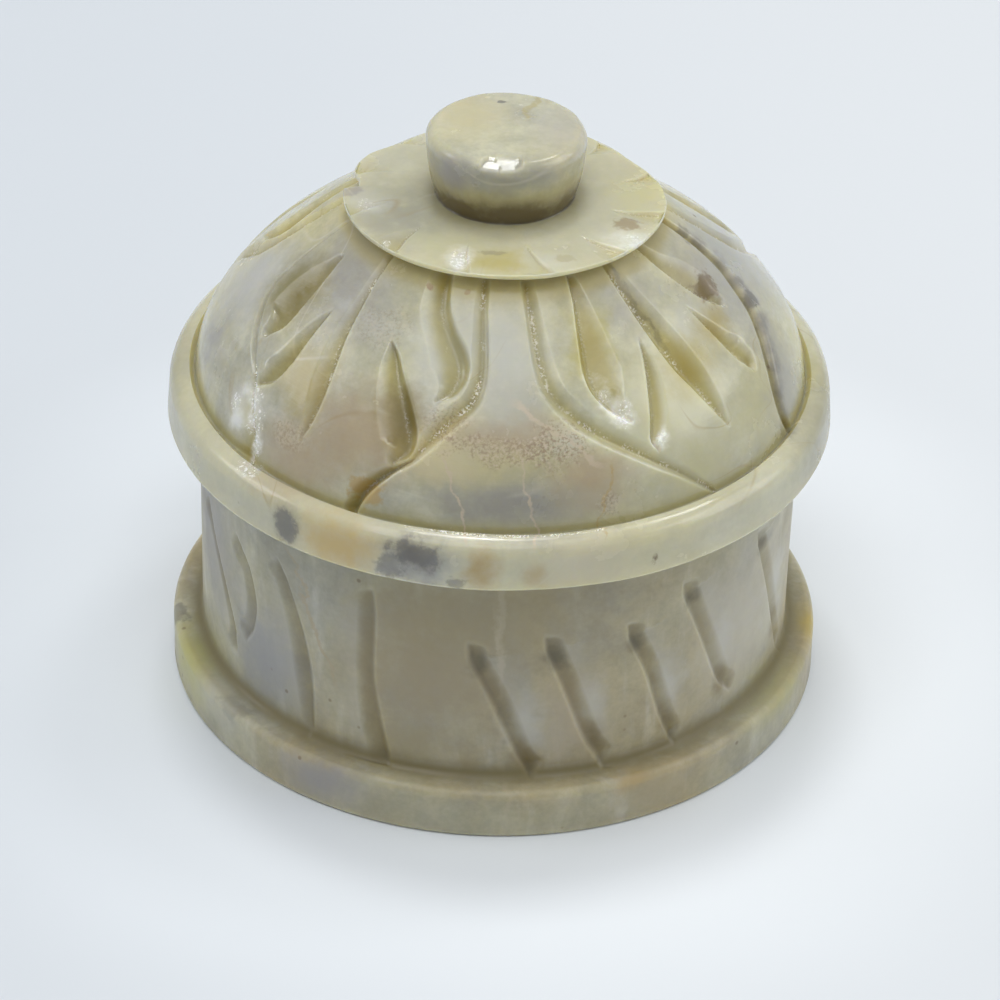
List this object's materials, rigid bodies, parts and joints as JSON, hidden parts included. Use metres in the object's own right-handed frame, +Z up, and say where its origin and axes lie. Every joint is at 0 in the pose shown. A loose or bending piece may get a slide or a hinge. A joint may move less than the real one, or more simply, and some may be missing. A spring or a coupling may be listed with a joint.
{
  "type": "trinket box",
  "caption": "Round carved stone trinket box with a lift-off domed lid, petalled collar and knob, fluted wall and foot ring.",
  "frame": {"origin": "middle of the flat underside, on the surface that the box stands on", "axes": "+Z up along the turning axis, through the knob; -Y towards the front, which the picture shows"},
  "size_m": [0.066, 0.066, 0.0601],
  "materials": {
    "stone_body": "hand-polished veined stone, taupe to grey-green, with darker flutes",
    "stone_lid": "hand-polished veined stone, pale grey-green to cream, with ochre in the cuts"
  },
  "bodies": {
    "body": {"box_body": "stone_body"},
    "lid": {"lid": "stone_lid"}
  },
  "joints": [
    {"name": "lid_lift", "type": "slide", "parent": "body", "child": "lid", "axis": [0, 0, 1], "range_m": [0, 0.04]}
  ]
}
